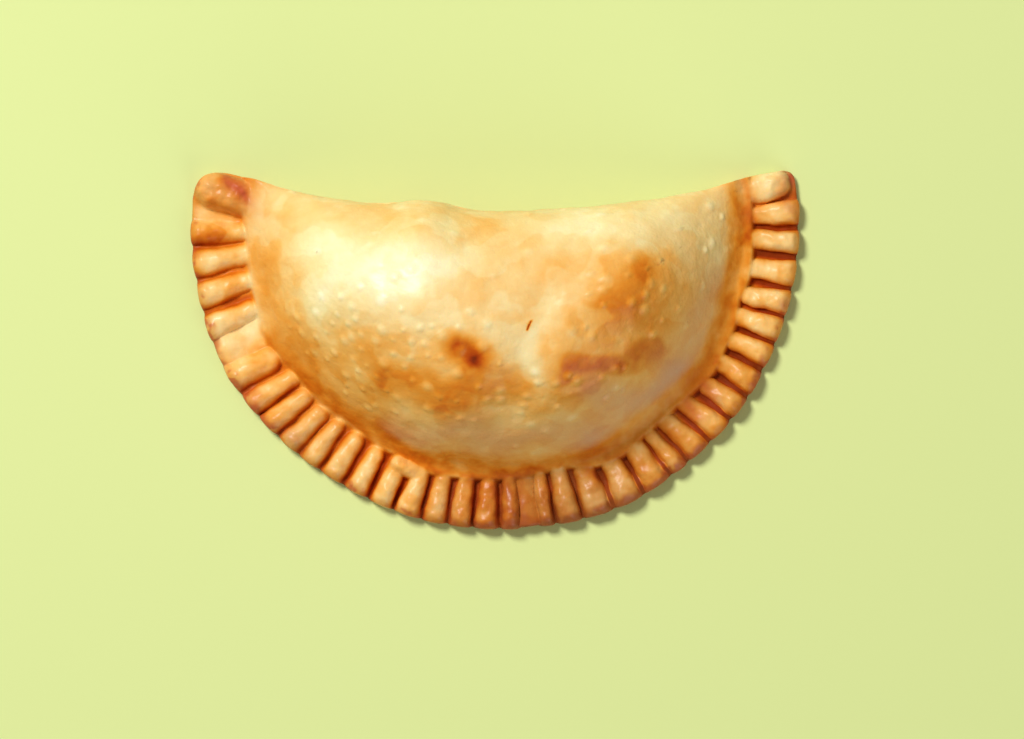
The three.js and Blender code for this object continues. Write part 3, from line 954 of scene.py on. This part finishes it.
# %% Guides
RIDGE_RISE = 3.3
RIDGE_FALL = 0.35
RIDGE_REACH = 1.7
RIDGE_STOP = 1.4
RIDGE_FILL = (1, 0.94)
CLOSED_MARK = -19.3
CORNER_FLAPS = [((-64.3, 36.3), (-52.5, 33.4), 4.4, 4.4), ((64.4, 37.8), (60.2, 36.7), 3.4, 3.6)]


def rim_point(angle, distance_in):
    walk = walk_at(angle)
    return mix(smooth_edge(walk), foot_line(walk), (distance_in / RIM_WIDTH)[:, None])


index = np.arange(len(ridge_starts))
ridge_middles = (ridge_starts + ridge_ends) / 2
half_turns = np.radians(ridge_ends - ridge_starts) / 2
dips = swells_at(ridge_middles, VALLEY_DIP)
between_marks = (mark_lengths[:-1] + mark_lengths[1:]) / 2
lengths = between_marks + RIDGE_REACH + RIDGE_STOP * dips + mix(-0.6, 0.6, draw(index, 1))
outer_radii = RIDGE_FILL[0] * half_turns * DISC_RADIUS
inner_radii = RIDGE_FILL[1] * half_turns * (DISC_RADIUS - lengths)
outer_ends = rim_point(ridge_middles, 0 * lengths)
inner_ends = rim_point(ridge_middles, lengths - inner_radii)
rises = RIDGE_RISE * mix(0.84, 1.1, draw(index, 2))
powers = section_power(ridge_middles)
bars = list(zip(outer_ends, inner_ends, outer_radii, inner_radii, rises, powers))
after = int(np.argmax(mark_angles > CLOSED_MARK - 0.1))
left, right = bars[after - 1], bars[after]
bars.append((left[1], right[1], left[3], right[3], *left[4:]))
for outer, inner, radius, rise in CORNER_FLAPS:
    bars.append((outer, inner, radius, radius, rise, FLAT_SECTION))
print(len(bars), "bars, the longest", lengths.max().round(1), "mm")

# %% Guide mesh
outer, inner, outer_radius, inner_radius, rise, power = (np.array(column) for column in zip(*bars))
flat = np.zeros(len(bars))
guide_mesh = bpy.data.meshes.new("ridge guides")
guide_mesh.from_pydata(np.column_stack([outer + shift, flat]) * MM, [], [])
tell(guide_mesh, "inner", np.column_stack([inner + shift, flat]) * MM)
tell(guide_mesh, "outer_radius", outer_radius * MM)
tell(guide_mesh, "inner_radius", inner_radius * MM)
tell(guide_mesh, "rise", rise * MM)
tell(guide_mesh, "power", power)
guides = put("ridge guides", guide_mesh)
print("guides:", len(guide_mesh.vertices))

# %% [markdown]
# ## Fork crimps
#
# The ridges could be sculpted one by one, but they repeat, so a Geometry Nodes tree raises them all. It
# goes through the guides one at a time and keeps, for each point of the dough, the highest ridge that
# reaches it. Then it lifts the point to that ridge, softly where the ridge meets the rim, and still
# more softly behind the marks, where the ridge melts into the dome. The edge's side follows by the
# share of the height that each point keeps in the attribute lift.

# %% Crimp tree
material = bpy.data.materials.new("baked crust")
material.use_nodes = True
crimp_sizes = {
    "Guides": guides,
    "Rim floor": RIM_FLOOR * MM,
    "Inner fall": RIDGE_FALL,
    "Softness": 0.3 * MM,
    "Wander": 1.3 * MM,
    "Wander scale": 150.0,
    "Unevenness": 0.4,
    "Unevenness scale": 420.0,
    "Material": material,
}
crimps, given = new_shaper("fork crimps", crimp_sizes)
over_point = attribute(crimps, "over", "FLOAT_VECTOR")
wander = noise(crimps, over_point, given["Wander scale"], output="Color")
wander_vector = crimps.add("ShaderNodeVectorMath", {"operation": "SUBTRACT"}, {0: wander, 1: 0.5})
plan_point = over_point + wander_vector * given["Wander"] * (1.0, 1.0, 0.0)
guide_points = crimps.add(
    "GeometryNodeObjectInfo", {"transform_space": "ORIGINAL"}, {"Object": given["Guides"]}, "Geometry"
)
guide_count = crimps.add(
    "GeometryNodeAttributeDomainSize", {"component": "MESH"}, {"Geometry": guide_points}, "Point Count"
)
print("points and guides:", len(crimps.nodes.nodes), "nodes")

# %% One turn for each guide
start_height = store(crimps, given["Geometry"], "ridge", 0.0)
loop_start = crimps.add("GeometryNodeRepeatInput", output=None)
loop_end = crimps.add("GeometryNodeRepeatOutput", output=None)
loop_start.pair_with_output(loop_end)
crimps.join(guide_count, loop_start.inputs["Iterations"])
crimps.join(start_height, loop_start.inputs["Geometry"])
turn = Wire(crimps, loop_start.outputs["Iteration"])


def guide(name, kind="FLOAT"):
    return sample(guide_points, attribute(crimps, name, kind), turn)


outer_end = sample(guide_points, crimps.add("GeometryNodeInputPosition"), turn)
inner_end = guide("inner", "FLOAT_VECTOR")
outer_width, inner_width = guide("outer_radius"), guide("inner_radius")
bar_rise, bar_power = guide("rise"), guide("power")
line = inner_end - outer_end
offset = plan_point - outer_end
along = crimps.maths("DOT_PRODUCT", offset, line) / crimps.maths("DOT_PRODUCT", line, line)
along = crimps.maths("MAXIMUM", crimps.maths("MINIMUM", along, 1.0), 0.0)
distance = crimps.maths("LENGTH", offset - line * along)
across = crimps.maths("MINIMUM", distance / (outer_width + (inner_width - outer_width) * along), 1.0)
fallen = given["Inner fall"] * fade(along, 0.3, 1.0)
section = (1.0 - across**bar_power) ** RIDGE_SQUARENESS
bar_height = bar_rise * (1.0 - fallen) * section * attribute(crimps, "roll")
highest = crimps.maths("MAXIMUM", attribute(crimps, "ridge"), bar_height)
kept = store(crimps, Wire(crimps, loop_start.outputs["Geometry"]), "ridge", highest)
crimps.join(kept, loop_end.inputs["Geometry"])
print("each ridge:", len(crimps.nodes.nodes), "nodes")

# %% Lift the dough to its ridges
MELTED_SOFTNESS = 4.0
uneven = 1.0 + (noise(crimps, over_point, given["Unevenness scale"]) - 0.5) * given["Unevenness"]
plain_top = attribute(crimps, "top")
ridge_top = given["Rim floor"] + attribute(crimps, "ridge") * uneven
melting = fade(attribute(crimps, "past_marks"), -2.0, 1.0)
softness = given["Softness"] * (1.0 + MELTED_SOFTNESS * melting)
raised = crimps.maths("SMOOTH_MAX", plain_top, ridge_top, softness)
climb = attribute(crimps, "lift") * (raised - plain_top)
upwards = crimps.add("ShaderNodeCombineXYZ", sockets={"X": 0.0, "Y": 0.0, "Z": climb})
crimped = move(crimps, Wire(crimps, loop_end.outputs["Geometry"]), upwards)
finish_shaper(crimps, crimped, given["Material"])
print("crimp tree:", len(crimps.nodes.nodes), "nodes")

# %% [markdown]
# ## Oven blisters
#
# Steam lifts the top layer of the dough into small blisters, and flour, butter and filling leave it
# uneven. A second tree scatters points over the crust, gives each its own radius, and raises the skin
# round the nearest one. It could displace the material instead, but relief that shows belongs in the
# mesh. The tree also stores how hollow each point lies, for the colours.

# %% Blister tree
blister_sizes = {
    "Spacing": 2.6 * MM,
    "Smallest": 0.8 * MM,
    "Largest": 1.9 * MM,
    "Blister height": 0.34 * MM,
    "Lump height": 0.9 * MM,
    "Lump scale": 75.0,
    "Dimple height": 0.55 * MM,
    "Dimple scale": 190.0,
    "Grain height": 0.3 * MM,
    "Grain scale": 420.0,
    "Seed": 4,
    "Material": material,
}
blisters, given = new_shaper("oven blisters", blister_sizes)
here = blisters.add("GeometryNodeInputPosition")
normal = blisters.add("GeometryNodeInputNormal")
free = attribute(blisters, "lift")
lumps = (noise(blisters, here, given["Lump scale"]) - 0.5) * given["Lump height"]
dimples = (noise(blisters, here, given["Dimple scale"], 1.0) - 0.5) * given["Dimple height"]
grain = (noise(blisters, here, given["Grain scale"], 3.0) - 0.5) * given["Grain height"]
lumpy = move(blisters, given["Geometry"], normal * ((lumps + dimples + grain) * free))
print("lumps and grain:", len(blisters.nodes.nodes), "nodes")

# %% Scatter the blisters
DENSEST = 160000.0
past_foot = {"Value": attribute(blisters, "inside"), "From Min": 1.0, "From Max": 4.0}
on_dome = blisters.add("ShaderNodeMapRange", sockets=past_foot)
spots = blisters.add(
    "GeometryNodeDistributePointsOnFaces",
    {"distribute_method": "POISSON"},
    {
        "Mesh": lumpy,
        "Distance Min": given["Spacing"],
        "Density Max": DENSEST,
        "Density Factor": on_dome * attribute(blisters, "pimpled"),
        "Seed": given["Seed"],
    },
    "Points",
)
spot_sizes = {"Min": given["Smallest"], "Max": given["Largest"], "Seed": given["Seed"]}
spot_size = blisters.add("FunctionNodeRandomValue", {"data_type": "FLOAT"}, spot_sizes)
sized = store(blisters, spots, "radius", spot_size)
nearest = blisters.add("GeometryNodeSampleNearest", {"domain": "POINT"}, {"Geometry": sized})
gap = blisters.maths("DISTANCE", here, sample(sized, here, nearest))
reach = sample(sized, attribute(blisters, "radius"), nearest)
within = 1.0 - blisters.maths("MINIMUM", gap / reach, 1.0) ** 2.0
swelling = within * within
blistered = move(blisters, lumpy, normal * (swelling * given["Blister height"] * free))
print("scattered blisters:", len(blisters.nodes.nodes), "nodes")

# %% Tell the colours of blisters and hollows
BLUR_STEPS = 8
smoothed = blisters.add(
    "GeometryNodeBlurAttribute", {"data_type": "FLOAT_VECTOR"}, {"Value": here, "Iterations": BLUR_STEPS}
)
sunken = blisters.maths("DOT_PRODUCT", smoothed - here, normal)
told = store(blisters, blistered, "bubble", swelling)
told = store(blisters, told, "hollow", sunken / MM)
finish_shaper(blisters, told, given["Material"])
print("blister tree:", len(blisters.nodes.nodes), "nodes")

# %% [markdown]
# ## Bake the shape into one mesh
#
# Both trees run once, here, and the result is kept as a plain mesh. A modifier that stays live would
# let the sizes be changed later, but the steps that check the pastry need its finished points.

# %% The finished crust
shape_with(crust, crimps, crimp_sizes)
shape_with(crust, blisters, blister_sizes)
evaluated = crust.evaluated_get(bpy.context.evaluated_depsgraph_get())
finished = bpy.data.meshes.new_from_object(evaluated)
crust.modifiers.clear()
crust.data = finished
bpy.data.objects.remove(guides)
triangles = sum(len(face.vertices) - 2 for face in finished.polygons)
print("crust:", triangles, "triangles")
low, high = np.array([corner[:] for corner in crust.bound_box])[[0, 6]] / MM
print("crust, mm:", (high - low).round(2), "lowest", low.round(2))

# %% [markdown]
# ## Colours of a baked crust
#
# One number, the baking, runs from pale dough to dark brown, and a colour ramp turns it into colours.
# It starts from the browning of each point, and it also carries painted shade in the marks, the valley,
# the ridges' flanks and a corner flap, and painted light on the dome and the blisters. First come the
# helpers, and four sizes of specks that keep every border and every surface uneven.

# %% Material helpers
surface = Tree(material.node_tree)
surface.nodes.nodes.clear()
place = surface.add("ShaderNodeTexCoord", output="Object")


def from_screen(red, green, blue):
    """A colour as a screen shows it, from 0 to 255, as the light that it stands for."""
    channels = np.array([red, green, blue]) / 255
    return tuple(np.where(channels > 0.04045, ((channels + 0.055) / 1.055) ** 2.4, channels / 12.92))


def read(name):
    return surface.add("ShaderNodeAttribute", {"attribute_name": name}, output="Fac")


def speckle(scale, detail=3.0):
    return noise(surface, place, scale, detail, roughness=0.55) - 0.5


def blend(share, first, screen_colour):
    settings = {"data_type": "RGBA", "clamp_factor": True}
    sockets = {"Factor": share, "A": first, "B": (*from_screen(*screen_colour), 1)}
    return surface.add("ShaderNodeMix", settings, sockets)


wide, middling, fine, tiny = speckle(70.0), speckle(210.0, 2.0), speckle(560.0, 1.5), speckle(1400.0)
islands = fade(speckle(120.0, 1.5), -0.035, 0.035) - 0.5
print("specks:", len(surface.nodes.nodes), "nodes")

# %% [markdown]
# ## Parts of the rim
#
# Masks say where the rim is pressed, where its ridges stand and have their flanks and tips, and where
# the valley behind the marks lies. Distances are in millimetres, and a ridge is a share of its full
# rise. The specks are added to the distances, so that the borders wander.

# %% Masks
inside, behind_marks, groove = read("inside"), read("past_marks"), read("groove")
ridge = read("ridge") / (RIDGE_RISE * MM)
from_edge = inside + RIM_WIDTH
on_rim = 1.0 - fade(inside, -3.0, -0.5)
leftwards = 1.0 - fade(surface.add("ShaderNodeSeparateXYZ", sockets={"Vector": place}), -0.03, 0.0)
# the bottoms of the fork marks, darkened below by browning and painted shade
pressed = groove * (1.0 - fade(ridge, 0.05, 0.4 + leftwards * 0.3)) * on_rim
# the flanks of the ridges, darkened below by browning and painted shade
flank = fade(ridge, 0.02, 0.25) * (1.0 - fade(ridge, 0.4, 0.9)) * on_rim * groove
tips = (1.0 - fade(from_edge + middling * 5.0, 0.4, 3.0)) * on_rim
# the valley behind the marks, darkened below by browning and painted shade
behind = fade(behind_marks + wide * 4.0, -0.8, 0.8) * (1.0 - fade(inside + wide * 13.0, -0.5, 4.0))
reaching = fade(ridge, 0.35, 0.75) * (1.0 - fade(behind_marks + middling * 3.0, 0.0, 1.4))
valley = behind * (1.0 - reaching) * read("valley") * (1.0 + wide * 1.8 + middling)
print("specks and masks:", len(surface.nodes.nodes), "nodes")

# %% [markdown]
# ## Baking
#
# The dough is mottled most where it is half browned. Then the bottoms of the fork marks and the valley
# turn darker with browning and painted shade, the flanks of the ridges a little darker, also partly
# painted shade, the tips a little darker, and the blisters paler, partly a painted highlight.

# %% Baking, with painted shade and painted highlights
EVEN_MOTTLING, HALF_BROWNED_MOTTLING = 0.03, 0.4
BUBBLE_PALER_AND_HIGHLIGHT, HOLLOW_PALER = 0.17, 0.2
FLANK_BROWN_AND_SHADE, TIP_DARKER = 0.2, 0.16
MARK_BROWN_AND_SHADE = 0.96
VALLEY_BROWN_AND_SHADE, VALLEY_BROWN_AND_SHADE_SHARE = 0.84, 0.78
dough = read("browned")
mottling = EVEN_MOTTLING + dough * (1.0 - dough) * HALF_BROWNED_MOTTLING
mottled = (middling * 1.6 + islands * 0.7) * mottling
baking_and_painted_light = dough + wide * 0.3 + mottled + tiny * 0.03 + on_rim * (middling * 0.3 + wide * 0.2)
# paler blisters, partly a painted highlight on each, and paler hollows on the dome
baking_and_painted_light = baking_and_painted_light - read("bubble") * BUBBLE_PALER_AND_HIGHLIGHT - read("hollow") * (1.0 - on_rim) * HOLLOW_PALER
# painted shade with browning on the ridges' flanks, and browner tips
baking_and_painted_light = baking_and_painted_light + flank * FLANK_BROWN_AND_SHADE + tips * TIP_DARKER
# painted shade with browning: the bottoms of the fork marks go almost to the darkest brown
baking_and_painted_light = baking_and_painted_light + (1.0 - baking_and_painted_light) * pressed * MARK_BROWN_AND_SHADE
# painted shade with browning: the valley is pulled towards a dark orange brown
baking_and_painted_light = baking_and_painted_light + (VALLEY_BROWN_AND_SHADE + middling * 0.1 - baking_and_painted_light) * valley * VALLEY_BROWN_AND_SHADE_SHARE
print("with the baking:", len(surface.nodes.nodes), "nodes")

# %% [markdown]
# ## From baking to colour
#
# Baked dough turns from cream to gold and then to brown, as the ramp does. Three thin tints follow: red
# for spots on the tips, brown for toasted parts of the rim, which at the front is also painted shade,
# and grey for flour at the foot of the dome.

# %% Colour
BAKED = [
    (0.0, (252, 240, 196)),
    (0.15, (246, 222, 160)),
    (0.3, (243, 204, 132)),
    (0.45, (242, 183, 97)),
    (0.57, (236, 164, 70)),
    (0.68, (228, 143, 42)),
    (0.78, (215, 118, 22)),
    (0.88, (188, 80, 6)),
    (0.95, (156, 52, 0)),
    (1.0, (104, 32, 2)),
]
RED_SPOT, TOAST_AND_SHADE, FLOUR = (196, 86, 50), (150, 80, 34), (212, 170, 136)
stops = [(baked, from_screen(*colour)) for baked, colour in BAKED]
crust_colour = surface.add("ShaderNodeValToRGB", {"stops": stops}, {"Fac": baking_and_painted_light}, "Color")
red_tips = tips * (1.0 - pressed) * fade(wide + fine * 0.4, -0.06, 0.05)
crust_colour = blend((read("reddened") + red_tips * 2.2) * 0.35, crust_colour, RED_SPOT)
# painted shade with toasting: a brown tint that darkens the front of the rim
toasted = read("toasted") * (1.0 + wide * 2.0 + middling) + tips * 0.24
crust_colour = blend(toasted * on_rim, crust_colour, TOAST_AND_SHADE)
floured = read("dusty") * fade(inside + wide * 4.0, 0.5, 3.0)
crust_colour = blend(floured * 0.4, crust_colour, FLOUR)
print("with the colours:", len(surface.nodes.nodes), "nodes")

# %% [markdown]
# ## The finish
#
# Baked dough is rather rough, and lets a little light in. The egg wash is a thin coat that is missing in
# the marks and in the valley. The specks also give the finest grain, which is too small for the mesh.

# %% Finish
relief = middling * 0.4 + fine * 0.35 + tiny * 0.25
bump = surface.add(
    "ShaderNodeBump", sockets={"Strength": 0.6, "Distance": 0.0006, "Height": relief}, output="Normal"
)
shader = surface.add(
    "ShaderNodeBsdfPrincipled",
    sockets={
        "Base Color": crust_colour,
        "Roughness": 0.46 + middling * 0.3 + pressed * 0.15,
        "Subsurface Weight": 0.1,
        "Subsurface Radius": (1.0, 0.4, 0.15),
        "Subsurface Scale": 0.0015,
        "Specular IOR Level": 0.06,
        "Coat Weight": 0.34 * (1.0 - pressed) * (1.0 - valley),
        "Coat Roughness": 0.32,
        "Normal": bump,
    },
)
surface.add("ShaderNodeOutputMaterial", sockets={"Surface": shader}, output=None)
print("crust material:", len(surface.nodes.nodes), "nodes")

# %% [markdown]
# ## Floor, light and camera
#
# The pastry lies on a plain floor that belongs to the picture only. A small, strong lamp high at the
# back left gives the highlight and the short shadows. A large, weak one at the front right fills them.
# The camera looks straight down.

# %% Floor
FLOOR_REACH = 1.5
sides = [(-1, -1), (1, -1), (1, 1), (-1, 1)]
floor_mesh = bpy.data.meshes.new("floor")
floor_mesh.from_pydata([(x * FLOOR_REACH, y * FLOOR_REACH, 0) for x, y in sides], [], [(0, 1, 2, 3)])
floor = put("floor", floor_mesh)
floor_paint = bpy.data.materials.new("floor paint")
floor_paint.use_nodes = True
paint = Tree(floor_paint.node_tree)
paint.nodes.nodes.clear()
dull_green = {
    "Base Color": (*from_screen(217, 228, 152), 1),
    "Roughness": 0.9,
    "Specular IOR Level": 0.1,
}
floor_shader = paint.add("ShaderNodeBsdfPrincipled", sockets=dull_green)
paint.add("ShaderNodeOutputMaterial", sockets={"Surface": floor_shader}, output=None)
floor_mesh.materials.append(floor_paint)
floor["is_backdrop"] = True
print("floor:", 2 * FLOOR_REACH, "m wide")

# %% Light
LAMP_DISTANCE = 1.5
WORLD_STRENGTH = 0.17


def add_light(name, direction, size, power):
    light = bpy.data.lights.new(name, "AREA")
    light.shape = "DISK"
    light.size = size
    light.energy = power
    lamp = put(name, light)
    towards = Vector(direction).normalized()
    lamp.location = towards * LAMP_DISTANCE
    lamp.rotation_euler = towards.to_track_quat("Z", "Y").to_euler()


add_light("key", (-0.412, 0.458, 0.788), size=0.45, power=22.5)
add_light("fill", (0.544, -0.725, 0.423), size=1.2, power=7.6)
world = bpy.data.worlds.new("studio")
world.use_nodes = True
bpy.context.scene.world = world
background = world.node_tree.nodes["Background"].inputs
background["Color"].default_value = (1, 1, 1, 1)
background["Strength"].default_value = WORLD_STRENGTH
print("key and fill lamps,", LAMP_DISTANCE, "m away")

# %% Camera
camera_data = bpy.data.cameras.new("camera")
camera_data.lens = 135
camera_data.sensor_width = 36
camera = put("camera", camera_data)
camera.location = (0.0039, -0.0045, 0.8817)
bpy.context.scene.camera = camera
bpy.context.scene.view_settings.view_transform = "Standard"
print("camera:", round(camera.location.z, 2), "m above the floor")

# %% [markdown]
# ## Hand over
#
# The crust takes the place of the solid, moves with the body and keeps a name for its material.

# %% Hand over
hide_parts("pastry")
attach(crust, "root")
low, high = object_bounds()
